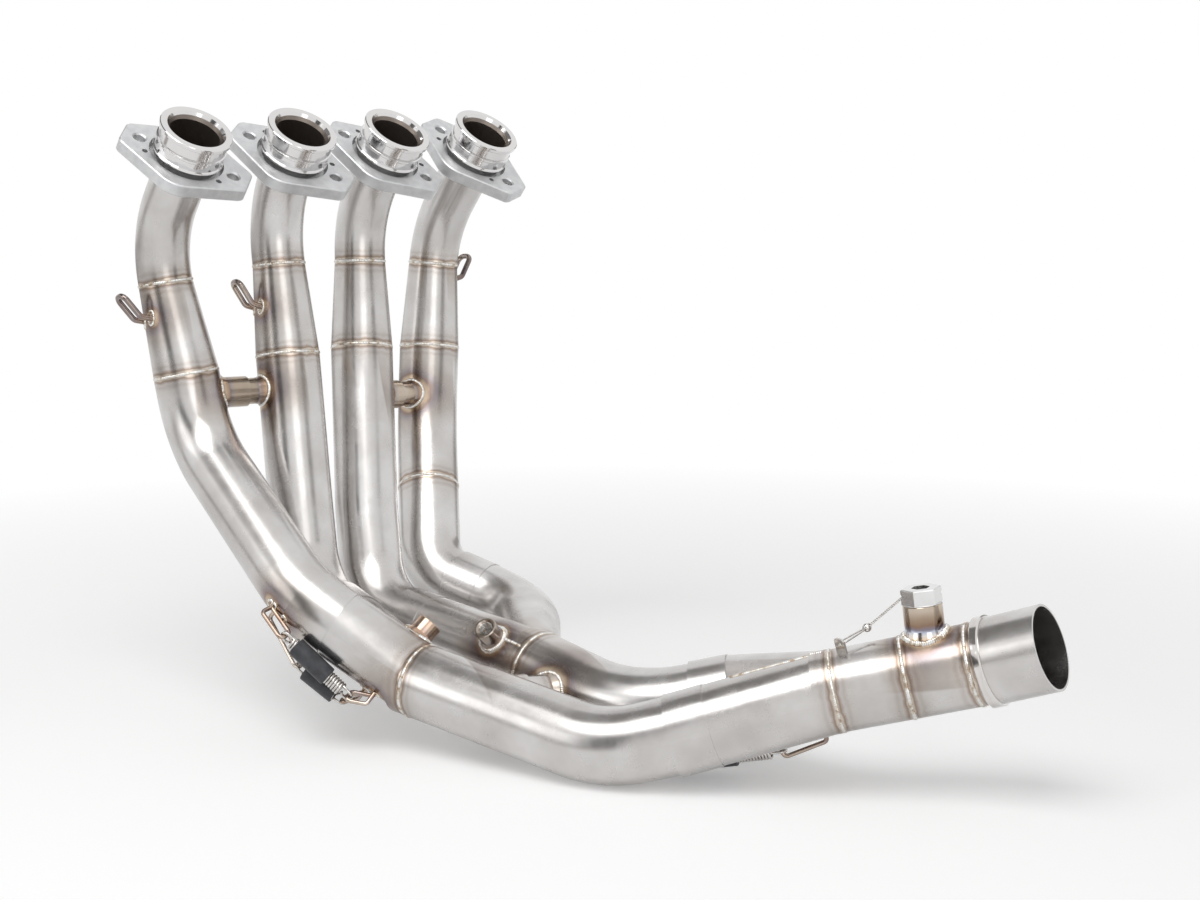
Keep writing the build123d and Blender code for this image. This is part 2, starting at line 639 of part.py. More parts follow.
hole = tab_plane * (Pos(0, 0, TAB_HOLE_HEIGHT) * Rot(90, 0, 0) * Cylinder(1.5, 6.0))
tab = (tab - hole - main_skin).solids().sort_by(SortBy.VOLUME)[-1]
save("wire_tab", tab)
wire = wire + Plane(origin=crimp_at, z_dir=along) * Cylinder(1.3, 2.0)
save("safety_wire", (wire - tab).solids().sort_by(SortBy.VOLUME)[-1])
crimp = Plane(origin=crimp_at, z_dir=along) * Sphere(CRIMP_R) - wire
save("wire_crimp", crimp.solids().sort_by(SortBy.VOLUME)[-1])

# The bungs' threaded bores go on through the metal they stand on.
def drilled(body, start, direction, radius):
    """The body with a round hole from the tube's centre line outwards."""
    plane = Plane(origin=start, z_dir=direction.normalized())
    return (body - plane * (Pos(0, 0, 30) * Cylinder(radius, 60))).solids().sort_by(SortBy.VOLUME)[-1]


save("front_collector", drilled(front_collector, near_bung_start, near_bung_axis, SENSOR_BORE_R))
save("far_collector", drilled(far_collector, far_bung_start, far_bung_axis, SENSOR_BORE_R))
tail = main_line.tube(SECOND_MAIN_WELD, RING_FROM, MAIN_R, MAIN_R - WALL)
save("tail_tube", drilled(tail, plug_base, plug_axis, MAIN_BORE_R))
plug_skirt = plug_plane * (Pos(0, 0, 31) * Cylinder(14.6, 26))
collector_beads[3] = collector_beads[3] - plug_skirt
front_skin_end = front_line.tube(0, 20.0, SECONDARY_R)
far_skin_end = far_line.tube(0, 20.0, SECONDARY_R)
collector_skins = [
    front_outer + front_skin_end,
    far_outer + far_skin_end,
    merge_outer + near_tube(main_line, 10.0, 10.0, MAIN_R),
    near_tube(main_line, SECOND_MAIN_WELD, 10.0, MAIN_R),
    near_tube(main_line, THIRD_MAIN_WELD, 6.0, MAIN_R),
]
seated_beads = [seated(bead, skin) for bead, skin in zip(collector_beads, collector_skins)]
save("collector_weld_beads", Compound(seated_beads))

# Springs over the slip joints: each hangs between a wire hook on the pipe and one on the collector.
# Each row: the loops' far points, the part of the length under rubber, and for each of the two
# hooks the tube's centre line at its feet, the distance along it, and the tube's radius there.
merge_line = Route([main_line.at(0)[0] - main_line.at(0)[1] * 60.0, MERGE_OUTLET], [])
SPRINGS = {
    "front_1": (
        Vector(115.9, -145.4, 87.1),
        Vector(149.4, -113.7, 42.3),
        (0.20, 0.66),
        (pipes[1], 391.0, PRIMARY_R),
        (pipes[1], 474.0, SECONDARY_R),
    ),
    "front_2": (
        Vector(104.6, -127.1, 61.1),
        Vector(134.6, -107.6, 35.5),
        (0.20, 0.78),
        (pipes[1], 384.0, PRIMARY_R),
        (pipes[1], 466.0, SECONDARY_R),
    ),
    "final": (
        Vector(316.9, 4.2, 12.4),
        Vector(389.3, 49.0, 28.6),
        (0.16, 0.62),
        (front_line, 157.0, SECONDARY_R),
        (merge_line, 46.0, MAIN_R),
    ),
}
hook_skins = {
    "front_1": near_tube(pipes[1], 380.0, 20.0, PRIMARY_R) + front_outer,
    "front_2": near_tube(pipes[1], 380.0, 20.0, PRIMARY_R) + front_outer,
    "final": front_skin + merge_outer,
}
for name, (start, end, covered, first_foot, last_foot) in SPRINGS.items():
    save(f"spring_{name}", spring(start, end))
    save(f"spring_rubber_{name}", rubber(start, end, *covered))
    plane = straight_plane(start, end)
    hooks = []
    for loop_end, inward, (line, distance, radius) in (
        (start, plane.z_dir, first_foot),
        (end, plane.z_dir * -1, last_foot),
    ):
        tip = loop_end + inward * (2 * LOOP_WIRE_R + HOOK_WIRE_R)
        behind, direction = line.at(distance)
        out = tip - behind
        out = (out - direction * out.dot(direction)).normalized()
        foot = behind + out * (radius - 4.0)
        knee = behind + out * (radius + 5.0)
        hooks.append(seated(wire_hook(foot, knee, tip, plane.y_dir), hook_skins[name]))
    save(f"spring_hooks_{name}", Compound(hooks))

whole = Compound(ALL).bounding_box()
print("whole box", whole.min, whole.max)
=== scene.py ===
import json
import math

import bmesh
import bpy
import numpy as np
from mathutils import Matrix, Vector


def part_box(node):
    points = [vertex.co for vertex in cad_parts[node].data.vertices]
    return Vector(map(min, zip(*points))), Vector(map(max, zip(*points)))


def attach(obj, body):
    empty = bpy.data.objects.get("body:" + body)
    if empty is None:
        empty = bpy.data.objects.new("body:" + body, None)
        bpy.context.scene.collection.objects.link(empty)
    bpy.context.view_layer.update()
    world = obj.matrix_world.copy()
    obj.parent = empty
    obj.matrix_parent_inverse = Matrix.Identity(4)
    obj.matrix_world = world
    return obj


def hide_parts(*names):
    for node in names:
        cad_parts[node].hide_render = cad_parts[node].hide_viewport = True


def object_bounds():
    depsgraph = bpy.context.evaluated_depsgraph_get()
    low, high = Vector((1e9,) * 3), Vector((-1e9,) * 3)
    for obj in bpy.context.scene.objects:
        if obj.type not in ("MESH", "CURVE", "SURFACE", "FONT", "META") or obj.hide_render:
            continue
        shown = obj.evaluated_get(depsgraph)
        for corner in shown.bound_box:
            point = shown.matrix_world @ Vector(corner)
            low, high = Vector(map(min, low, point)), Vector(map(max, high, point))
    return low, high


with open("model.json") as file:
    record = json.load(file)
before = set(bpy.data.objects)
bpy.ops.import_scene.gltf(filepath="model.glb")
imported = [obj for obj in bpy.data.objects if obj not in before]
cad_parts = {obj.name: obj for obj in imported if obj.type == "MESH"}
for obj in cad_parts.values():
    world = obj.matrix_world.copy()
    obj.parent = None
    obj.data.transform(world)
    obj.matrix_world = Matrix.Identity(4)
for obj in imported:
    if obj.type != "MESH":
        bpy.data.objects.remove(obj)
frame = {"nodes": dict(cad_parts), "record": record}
nodes = frame["nodes"]
cad_box = [list(corner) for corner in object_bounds()]

# Port flanges: four rhomboid plates milled from aluminium and bead-blasted all over, chamfers too.
# The blasting leaves an even matt grain. Each sits loose on its collar and turns a little.
MM = 0.001
BLASTED_DARK = (0.60, 0.605, 0.615)
BLASTED_LIGHT = (0.68, 0.685, 0.69)
BLASTED_SMOOTHEST = 0.45
BLASTED_ROUGHEST = 0.57


def new_finish(name, **sockets):
    """A metal or rubber finish: its material and its shader, with the plain sockets set."""
    material = bpy.data.materials.new(name)
    material.use_nodes = True
    tree = material.node_tree
    tree.nodes.clear()
    shader = tree.nodes.new("ShaderNodeBsdfPrincipled")
    output = tree.nodes.new("ShaderNodeOutputMaterial")
    tree.links.new(shader.outputs["BSDF"], output.inputs["Surface"])
    for socket, value in sockets.items():
        shader.inputs[socket.replace("_", " ")].default_value = value
    return material, shader


def step(material, kind, inputs, output=0, **settings):
    """One node of a finish: inputs that are sockets are linked, the others are set."""
    node = material.node_tree.nodes.new("ShaderNode" + kind)
    for setting, value in settings.items():
        setattr(node, setting, value)
    for socket, value in inputs.items():
        if isinstance(value, bpy.types.NodeSocket):
            material.node_tree.links.new(value, node.inputs[socket])
        else:
            node.inputs[socket].default_value = value
    return node.outputs[output]


def calculate(material, operation, first, second):
    """One step of arithmetic on two numbers or sockets."""
    return step(material, "Math", {0: first, 1: second}, operation=operation)


def colours(material, factor, stops):
    """A colour ramp from (position, colour) pairs."""
    ramp = material.node_tree.nodes.new("ShaderNodeValToRGB")
    bar = ramp.color_ramp
    while len(bar.elements) < len(stops):
        bar.elements.new(0.5)
    for element, (position, colour) in zip(bar.elements, stops):
        element.position = position
        element.color = (*colour, 1.0)
    material.node_tree.links.new(factor, ramp.inputs["Fac"])
    return ramp.outputs["Color"]


def noise(material, place, size_mm, detail=3.0):
    """Cloudy noise from 0 to 1 whose patches are about that many millimetres wide."""
    inputs = {"Vector": place, "Scale": 1.0 / (size_mm * MM), "Detail": detail}
    return step(material, "TexNoise", inputs)


def spread(material, value, low, high):
    """Noise from 0.3 to 0.7 stretched to run from low to high."""
    inputs = {"Value": value, "From Min": 0.3, "From Max": 0.7, "To Min": low, "To Max": high}
    return step(material, "MapRange", inputs)


def grain(material, shader, place, size_mm, depth_mm, strength):
    """Fine relief in the surface."""
    relief = noise(material, place, size_mm)
    inputs = {"Height": relief, "Strength": strength, "Distance": depth_mm * MM}
    material.node_tree.links.new(step(material, "Bump", inputs), shader.inputs["Normal"])


def dress(node, material):
    """Gives a piece its finish."""
    piece = nodes[node] if isinstance(node, str) else node
    piece.data.materials.clear()
    piece.data.materials.append(material)


blasted, shader = new_finish("blasted_aluminium", Metallic=1.0)
place = step(blasted, "TexCoord", {}, output=3)
patches = noise(blasted, place, size_mm=6.0)
tone = colours(blasted, patches, [(0.35, BLASTED_DARK), (0.65, BLASTED_LIGHT)])
blasted.node_tree.links.new(tone, shader.inputs["Base Color"])
pits = noise(blasted, place, size_mm=0.6)
matt = spread(blasted, pits, BLASTED_SMOOTHEST, BLASTED_ROUGHEST)
blasted.node_tree.links.new(matt, shader.inputs["Roughness"])
grain(blasted, shader, place, size_mm=0.35, depth_mm=0.05, strength=0.45)
for number in (1, 2, 3, 4):
    dress(f"port_flange_{number}", blasted)

# Inlet collars: turned from stainless bar and polished, so that they mirror the room.
# The turning tool leaves fine rings round the lip's flat face, the neck and the bands.
MOUNTS = {mount["name"]: mount for mount in frame["record"]["mounts"]}
TURNED_COLOUR = (0.70, 0.69, 0.685, 1.0)
TURNING_PITCH_MM = 0.35
TURNING_DEPTH_MM = 0.02
TURNED_SMOOTH = 0.07
TURNED_ROUGH = 0.16
# Within the bore's radius the collar is coloured dark brown: painted shade inside the bore.
BORE_R_MM = 19.3
BORE_ROUGHNESS = 0.42
BORE_PAINTED_SHADE = (0.25, 0.215, 0.19)


def from_axis(material, place, centre, axis):
    """How far along an axis a point lies, and how far out from it."""
    offset = step(material, "VectorMath", {0: place, 1: tuple(centre)}, operation="SUBTRACT")
    inputs = {0: offset, 1: tuple(axis)}
    along = step(material, "VectorMath", inputs, output=1, operation="DOT_PRODUCT")
    across = step(material, "VectorMath", inputs, operation="CROSS_PRODUCT")
    out = step(material, "VectorMath", {0: across}, output=1, operation="LENGTH")
    return along, out


def lathe_lines(material, shader, along, out):
    """Fine rings about an axis, as a turning tool leaves them."""
    travel = calculate(material, "ADD", along, out)
    scaled = calculate(material, "MULTIPLY", travel, 1.0 / (TURNING_PITCH_MM * MM))
    inputs = {"W": scaled, "Scale": 1.0, "Detail": 2.0}
    rings = step(material, "TexNoise", inputs, noise_dimensions="1D")
    inputs = {"Height": rings, "Strength": 0.25, "Distance": TURNING_DEPTH_MM * MM}
    material.node_tree.links.new(step(material, "Bump", inputs), shader.inputs["Normal"])
    return rings


for number in (1, 2, 3, 4):
    lip = MOUNTS[f"inlet_lip_{number}"]
    turned, shader = new_finish(f"turned_steel_{number}", Metallic=1.0, Base_Color=TURNED_COLOUR)
    place = step(turned, "TexCoord", {}, output=3)
    along, out = from_axis(turned, place, lip["pos_m"], lip["axis"])
    rings = lathe_lines(turned, shader, along, out)
    smooth = spread(turned, rings, TURNED_SMOOTH, TURNED_ROUGH)
    outside = calculate(turned, "GREATER_THAN", out, BORE_R_MM * MM)
    inputs = {"Value": outside, "To Min": BORE_ROUGHNESS, "To Max": smooth}
    turned.node_tree.links.new(step(turned, "MapRange", inputs), shader.inputs["Roughness"])
    # The colour inside the bore is painted shade: dark brown within the bore's radius, the turned
    # colour outside it.
    tone = colours(turned, outside, [(0.2, BORE_PAINTED_SHADE), (0.8, TURNED_COLOUR[:3])])
    turned.node_tree.links.new(tone, shader.inputs["Base Color"])
    dress(f"inlet_collar_{number}", turned)

# Weld beads round the tubes: each is a row of overlapping drops that the torch leaves, shiny and
# faintly straw coloured. The rings take their centres, radii and directions from the CAD beads.
DROP_STEP_MM = 1.25
DROP_LONG_MM = 1.35
DROP_TILT = math.radians(-14)
UPPER_BEAD_MM = (2.2, 0.5)
COLLECTOR_BEAD_MM = (2.6, 0.55)
# What each weld leaves for the finishes: ring or spot, its centre, axis and radius, and the name
# of the piece where only one piece took the heat.
heat_marks = []


def separate_solids(node):
    """The points of each separate solid of a CAD node."""
    shell = bmesh.new()
    shell.from_mesh(nodes[node].data)
    bmesh.ops.remove_doubles(shell, verts=shell.verts, dist=1e-6)
    shell.verts.index_update()
    reached = set()
    found = []
    for first in shell.verts:
        if first.index in reached:
            continue
        reached.add(first.index)
        front = [first]
        solid = [first]
        while front:
            vert = front.pop()
            for edge in vert.link_edges:
                other = edge.other_vert(vert)
                if other.index not in reached:
                    reached.add(other.index)
                    solid.append(other)
                    front.append(other)
        found.append(np.array([vert.co for vert in solid]))
    shell.free()
    return found


def ring_of(points):
    """The centre, axis and inner radius of a ring of points."""
    middle = points.mean(0)
    axes = np.linalg.svd(points - middle, full_matrices=False)[2]
    flat = (points - middle) @ axes[:2].T
    table = np.c_[2 * flat, np.ones(len(flat))]
    answer = np.linalg.lstsq(table, (flat ** 2).sum(1), rcond=None)[0]
    centre = middle + answer[:2] @ axes[:2]
    out = np.linalg.norm((points - centre) - np.outer((points - centre) @ axes[2], axes[2]), axis=1)
    return Vector(centre), Vector(axes[2]), float(np.percentile(out, 10))


def square_pair(axis):
    """Two directions square to an axis and to each other."""
    first = axis.orthogonal().normalized()
    return first, axis.cross(first).normalized()


def round_tube(centre, axis, radius):
    """The run of a weld round a tube: points, each with the way along and the way up."""
    first, second = square_pair(axis)
    count = round(2 * math.pi * radius / (DROP_STEP_MM * MM))
    run = []
    for index in range(count):
        angle = 2 * math.pi * index / count
        up = first * math.cos(angle) + second * math.sin(angle)
        ahead = second * math.cos(angle) - first * math.sin(angle)
        run.append((centre + up * radius, ahead, up))
    return run


def lay_drops(weld, run, width_mm, height_mm):
    """Adds overlapping drops along a run, each a little different from the last."""
    row = bmesh.new()
    for index, (point, ahead, up) in enumerate(run):
        side = ahead.cross(up).normalized()
        up = side.cross(ahead).normalized()
        turn = Matrix((ahead, side, up)).transposed().to_4x4()
        # Two waves out of step stand for the welder's hand.
        uneven = 1.0 + 0.10 * math.sin(index * 2.399) + 0.05 * math.sin(index * 0.37)
        half_width = width_mm / 2 * uneven * MM
        size = (DROP_LONG_MM * MM, half_width, height_mm * uneven * MM, 1.0)
        shape = turn @ Matrix.Rotation(DROP_TILT, 4, "Y") @ Matrix.Diagonal(size)
        shape = Matrix.Translation(point) @ shape
        bmesh.ops.create_uvsphere(row, u_segments=8, v_segments=5, radius=1.0, matrix=shape)
    mesh = bpy.data.meshes.new("row")
    row.to_mesh(mesh)
    row.free()
    weld.from_mesh(mesh)
    bpy.data.meshes.remove(mesh)


def new_piece(name, shape):
    """A finished mesh as a piece that rides on the header."""
    mesh = bpy.data.meshes.new(name)
    shape.to_mesh(mesh)
    shape.free()
    mesh.shade_smooth()
    piece = bpy.data.objects.new(name, mesh)
    bpy.context.scene.collection.objects.link(piece)
    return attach(piece, "header")


weld_metal, shader = new_finish("weld_metal", Metallic=1.0)
place = step(weld_metal, "TexCoord", {}, output=3)
WELD_TINTS = [
    (0.34, (0.42, 0.33, 0.25)),
    (0.42, (0.64, 0.58, 0.50)),
    (0.54, (0.76, 0.75, 0.73)),
]
tone = colours(weld_metal, noise(weld_metal, place, size_mm=5.0), WELD_TINTS)
weld_metal.node_tree.links.new(tone, shader.inputs["Base Color"])
gloss = spread(weld_metal, noise(weld_metal, place, size_mm=1.5), low=0.12, high=0.26)
weld_metal.node_tree.links.new(gloss, shader.inputs["Roughness"])
grain(weld_metal, shader, place, size_mm=0.5, depth_mm=0.04, strength=0.3)

for node, (width, height) in (
    ("upper_weld_beads", UPPER_BEAD_MM),
    ("lower_weld_beads", UPPER_BEAD_MM),
    ("collector_weld_beads", COLLECTOR_BEAD_MM),
):
    weld = bmesh.new()
    for solid in separate_solids(node):
        centre, axis, radius = ring_of(solid)
        lay_drops(weld, round_tube(centre, axis, radius), width, height)
        heat_marks.append(("ring", centre, axis, radius))
    beads = new_piece(node.replace("weld_beads", "rippled_welds"), weld)
    dress(beads, weld_metal)
    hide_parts(node)

# Fillet welds where smaller pieces stand on the tubes: balance tubes, crossover and bungs.
# Each follows the line where the piece meets the metal, found by looking down its own side.
LIP_2_MM = Vector((-0.903, -40.968, 414.703))
UNDER_ROW = Vector(MOUNTS["inlet_lip_2"]["pos_m"]) - LIP_2_MM * MM
BALANCE_SLEEVE_WELD_R_MM = 11.8
BALANCE_WELD_R_MM = 10.7
CROSSOVER_WELD_R_MM = 13.5
CROSSOVER_SLEEVE_WELD_R_MM = 14.5
FILLET_MM = (3.4, 1.3)
BUNG_FILLET_MM = (5.2, 2.1)
OVER_BUNG_MM = 45.0
WIDEST_STEP_MM = 8.0


def from_row(x, y, z):
    """A place in millimetres from the point under the middle of the port row, as a point here."""
    return Vector((x, y, z)) * MM + UNDER_ROW


def round_branch(targets, start, toward, radius_mm):
    """The run of a weld where a round piece, seen along its axis, meets the metal."""
    toward = toward.normalized()
    first, second = square_pair(toward)
    count = round(2 * math.pi * radius_mm / DROP_STEP_MM)
    hits = []
    for index in range(count):
        angle = 2 * math.pi * index / count
        out = first * math.cos(angle) + second * math.sin(angle)
        nearest = None
        for target in targets:
            hit, point, normal, _ = nodes[target].ray_cast(start + out * radius_mm * MM, toward)
            if not hit:
                continue
            if nearest is None or (point - start).length < (nearest[0] - start).length:
                nearest = (point, (normal + out).normalized())
        if nearest:
            hits.append(nearest)
    run = []
    for index, (point, up) in enumerate(hits):
        ahead = hits[(index + 1) % len(hits)][0] - hits[index - 1][0]
        if ahead.length < WIDEST_STEP_MM * MM:
            run.append((point, ahead.normalized(), up))
    return run


def weld_branch(weld, branch, targets, start, toward, radius_mm, size_mm):
    """Welds a round piece to the metal, and notes the heat that this left in both."""
    run = round_branch(targets, start, toward, radius_mm)
    lay_drops(weld, run, *size_mm)
    centre = sum((place for place, _, _ in run), Vector()) / len(run)
    axis = toward.normalized()
    for target in targets:
        heat_marks.append(("spot", centre, axis, radius_mm * MM, target))
    heat_marks.append(("ring", centre, axis, radius_mm * MM, branch))


balance_ends = (
    (1, 2, from_row(-35.6, -118.1, 229.0), from_row(-21.5, -42.3, 228.0)),
    (3, 4, from_row(-25.0, 25.0, 217.4), from_row(-48.4, 104.5, 210.0)),
)
weld = bmesh.new()
for low_pipe, high_pipe, start, end in balance_ends:
    middle = (start + end) / 2
    for branch, pipe, toward, radius in (
        ("sleeve", low_pipe, start - end, BALANCE_SLEEVE_WELD_R_MM),
        ("tube", high_pipe, end - start, BALANCE_WELD_R_MM),
    ):
        branch = f"balance_{branch}_{low_pipe}{high_pipe}"
        weld_branch(weld, branch, [f"primary_tube_{pipe}"], middle, toward, radius, FILLET_MM)
cross_start = from_row(212.0, -61.9, 44.9)
cross_end = from_row(236.0, 14.2, 43.2)
middle = (cross_start + cross_end) / 2
span = cross_end - cross_start
for branch, target, toward, radius in (
    ("crossover_tube", "far_secondary", span, CROSSOVER_WELD_R_MM),
    ("crossover_sleeve", "front_secondary", span * -1, CROSSOVER_SLEEVE_WELD_R_MM),
):
    weld_branch(weld, branch, [target], middle, toward, radius, FILLET_MM)
dress(new_piece("balance_and_crossover_welds", weld), weld_metal)

far_bung_start = from_row(163.3, 8.8, 52.1)
far_bung_axis = Vector(MOUNTS["far_sensor_thread"]["axis"])
front_bung_start = from_row(145.0, -76.0, 58.0)
front_bung_axis = Vector(MOUNTS["front_sensor_thread"]["axis"])
main_bung_start = from_row(465.9, 91.7, 85.8)
main_bung_axis = Vector((-0.10, -0.08, 0.99)).normalized()
weld = bmesh.new()
for branch, target, start, axis, radius in (
    ("far_bung", ["far_collector"], far_bung_start, far_bung_axis, 9.0),
    ("front_bung", ["front_collector"], front_bung_start, front_bung_axis, 10.0),
    ("main_bung", ["tail_tube", "main_tube"], main_bung_start, main_bung_axis, 13.4),
):
    above = start + axis * OVER_BUNG_MM * MM
    weld_branch(weld, branch, target, above, axis * -1, radius, BUNG_FILLET_MM)
dress(new_piece("bung_welds", weld), weld_metal)

# Small beads round the feet of the hooks, where the bent rods stand on the tubes and collectors.
# Each foot is found where the rod's own surface touches the metal.
FOOT_BEAD_MM = (2.0, 0.9)
TOUCHING_MM = 0.4
TOUCH_STRIDE = 4
TOUCHES_NEEDED = 4
HANGER_FOOT_MM = (5.0, 2.7)
SPRING_FOOT_MM = (3.6, 2.3)
ROD_HEAT_R_MM = 5.0


def feet_of(node, targets):
    """The feet of a bent rod: a point, the metal's name and the way up from it."""
    found = []
    for solid in separate_solids(node):
        for target in targets:
            near = []
            for point in solid[::TOUCH_STRIDE]:
                if nodes[target].closest_point_on_mesh(Vector(point), distance=TOUCHING_MM * MM)[0]:
                    near.append(point)
            if len(near) < TOUCHES_NEEDED:
                continue
            points = np.array(near)
            long_way = np.linalg.svd(points - points.mean(0), full_matrices=False)[2][0]
            side = (points - points.mean(0)) @ long_way
            for half in (side < 0, side >= 0):
                foot = Vector(points[half].mean(0))
                up = nodes[target].closest_point_on_mesh(foot)[2]
                found.append((foot, target, up))
    return found


def round_foot(target, foot, up, along, long_mm, wide_mm):
    """An oval run on the metal round a rod's foot."""
    along = (along - up * along.dot(up)).normalized()
    across = up.cross(along)
    count = round(math.pi * (long_mm + wide_mm) / DROP_STEP_MM)
    places = []
    for index in range(count):
        angle = 2 * math.pi * index / count
        out = along * (long_mm * math.cos(angle)) + across * (wide_mm * math.sin(angle))
        _, point, normal, _ = nodes[target].closest_point_on_mesh(foot + out * MM)
        # The bead rises from the metal and leans in to the rod.
        places.append((point, (normal * 1.4 - out.normalized() * 0.5).normalized()))
    run = []
    for index, (point, rise) in enumerate(places):
        ahead = places[(index + 1) % count][0] - places[index - 1][0]
        run.append((point, ahead.normalized(), rise))
    return run


weld = bmesh.new()
hook_metal = {f"hanger_hook_{number}": [f"cone_{number}"] for number in (1, 2, 4)}
hook_metal["spring_hooks_front_1"] = ["primary_tube_1", "front_collector"]
hook_metal["spring_hooks_front_2"] = ["primary_tube_1", "front_collector"]
hook_metal["spring_hooks_final"] = ["front_secondary", "final_collector"]
for hook, metal in hook_metal.items():
    for foot, target, up in feet_of(hook, metal):
        low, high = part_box(target)
        along, foot_size = high - low, SPRING_FOOT_MM
        if hook.startswith("hanger"):
            along, foot_size = Vector((0.0, 0.0, 1.0)), HANGER_FOOT_MM
        lay_drops(weld, round_foot(target, foot, up, along, *foot_size), *FOOT_BEAD_MM)
        heat_marks.append(("spot", foot, up, foot_size[1] * MM, target))
        heat_marks.append(("ring", foot, up, ROD_HEAT_R_MM * MM, hook))
dress(new_piece("hook_welds", weld), weld_metal)

# Seam welds in the valleys where two pipes grow together into one collector.
# They run from the fork down to the ring weld, on the upper side and underneath.
SEAM_MM = (3.0, 0.9)
SEAM_END_MM = 3
OUTSIDE_MM = 80.0
FRONT_WAY = Vector((0.9534, 0.255, -0.1611))
FAR_WAY = Vector((0.9861, 0.0457, -0.16))
MERGE_WAY = Vector((0.7684, 0.5946, 0.2367))
MERGE_TOP = Vector((-0.144, -0.199, 0.969))
front_outlet = from_row(171.5, -72.7, 51.7)
far_outlet = from_row(193.0, 12.0, 50.0)
merge_outlet = from_row(421.5, 57.4, 72.1)
weld = bmesh.new()
for collector, outlet, axis, side, fork_mm in (
    ("front_collector", front_outlet, FRONT_WAY, front_bung_axis, 13),
    ("far_collector", far_outlet, FAR_WAY, far_bung_axis, 19),
    ("final_collector", merge_outlet, MERGE_WAY, MERGE_TOP, 62),
    ("final_collector", merge_outlet, MERGE_WAY, MERGE_TOP * -1, 62),
):
    side = (side - axis * side.dot(axis)).normalized()
    run = []
    count = round((fork_mm - SEAM_END_MM) / DROP_STEP_MM)
    for index in range(count):
        back = fork_mm - index * DROP_STEP_MM
        start = outlet - axis * back * MM + side * OUTSIDE_MM * MM
        hit, point, _, _ = nodes[collector].ray_cast(start, side * -1)
        if hit:
            run.append((point, axis, side))
    lay_drops(weld, run, *SEAM_MM)
dress(new_piece("seam_welds", weld), weld_metal)

# Tubes, cones and collectors: bent and rolled stainless sheet with a satin finish.
# The torch's heat leaves thin straw and brown lines beside every weld.
SATIN_DARK = (0.51, 0.49, 0.475)
SATIN_LIGHT = (0.64, 0.625, 0.615)
SATIN_ROUGHNESS = 0.24
HEAT_REACH_MM = 26.0
BESIDE_WELD_MM = 14.0
BEYOND_GROWTH = 8.0
NEAR_WELD_MM = 8.0
RAGGED_MM = 4.0
LIGHT_HEAT = [
    (0.0, (0.98, 0.92, 0.84)),
    (0.06, (0.93, 0.84, 0.74)),
    (0.10, (0.50, 0.40, 0.33)),
    (0.135, (0.68, 0.60, 0.55)),
    (0.19, (0.90, 0.87, 0.85)),
    (0.27, (0.82, 0.78, 0.75)),
    (0.36, (0.94, 0.92, 0.90)),
    (0.60, (1.0, 1.0, 1.0)),
]
SPOT_HEAT = [
    (0.0, (0.95, 0.84, 0.68)),
    (0.09, (0.82, 0.66, 0.50)),
    (0.18, (0.44, 0.34, 0.30)),
    (0.30, (0.52, 0.48, 0.50)),
    (0.45, (0.72, 0.67, 0.64)),
    (0.70, (0.88, 0.85, 0.82)),
    (1.0, (1.0, 1.0, 1.0)),
]
STRONG_HEAT = [
    (0.0, (0.96, 0.82, 0.66)),
    (0.08, (0.78, 0.55, 0.38)),
    (0.16, (0.50, 0.40, 0.40)),
    (0.22, (0.62, 0.60, 0.66)),
    (0.34, (0.88, 0.80, 0.70)),
    (0.80, (0.97, 0.92, 0.85)),
]


def marks_near(node):
    """The welds that heated this piece."""
    low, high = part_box(node)
    room = NEAR_WELD_MM * MM
    found = []
    for kind, centre, axis, radius, *named in heat_marks:
        if named:
            if named[0] == node:
                found.append((kind, centre, axis, radius))
        elif all(low[i] - room < centre[i] < high[i] + room for i in range(3)):
            found.append((kind, centre, axis, radius))
    return found


def tube_steel(node, dark=SATIN_DARK, light=SATIN_LIGHT, roughness=SATIN_ROUGHNESS,
               heat=LIGHT_HEAT, amount=1.0):
    """Satin steel for one piece, with the heat lines of the welds round it."""
    material, shader = new_finish(f"steel_{node}", Metallic=1.0)
    place = step(material, "TexCoord", {}, output=3)
    cloud = noise(material, place, size_mm=38.0, detail=4.0)
    tone = colours(material, cloud, [(0.32, dark), (0.66, light)])
    nearest = {}
    for kind, centre, axis, radius in marks_near(node):
        along, out = from_axis(material, place, centre, axis)
        along = calculate(material, "ABSOLUTE", along, 0.0)
        if kind == "ring":
            beyond = calculate(material, "SUBTRACT", out, radius + BESIDE_WELD_MM * MM)
            distance = along
        else:
            beyond = calculate(material, "SUBTRACT", along, radius + BESIDE_WELD_MM * MM)
            distance = calculate(material, "SUBTRACT", out, radius)
            distance = calculate(material, "ABSOLUTE", distance, 0.0)
        beyond = calculate(material, "MAXIMUM", beyond, 0.0)
        inputs = {0: beyond, 1: BEYOND_GROWTH, 2: distance}
        distance = step(material, "Math", inputs, operation="MULTIPLY_ADD")
        if kind in nearest:
            distance = calculate(material, "MINIMUM", nearest[kind], distance)
        nearest[kind] = distance
    for kind, away in nearest.items():
        ragged = calculate(material, "SUBTRACT", noise(material, place, size_mm=9.0), 0.5)
        inputs = {0: ragged, 1: RAGGED_MM * MM, 2: away}
        shifted = step(material, "Math", inputs, operation="MULTIPLY_ADD")
        share = calculate(material, "DIVIDE", shifted, HEAT_REACH_MM * MM)
        tint = colours(material, share, heat if kind == "ring" else SPOT_HEAT)
        inputs = {"Fac": amount, "Color1": tone, "Color2": tint}
        tone = step(material, "MixRGB", inputs, blend_type="MULTIPLY")
    material.node_tree.links.new(tone, shader.inputs["Base Color"])
    rubbed = noise(material, place, size_mm=14.0)
    worn = spread(material, rubbed, low=roughness - 0.03, high=roughness + 0.05)
    material.node_tree.links.new(worn, shader.inputs["Roughness"])
    grain(material, shader, place, size_mm=0.3, depth_mm=0.006, strength=0.35)
    return material


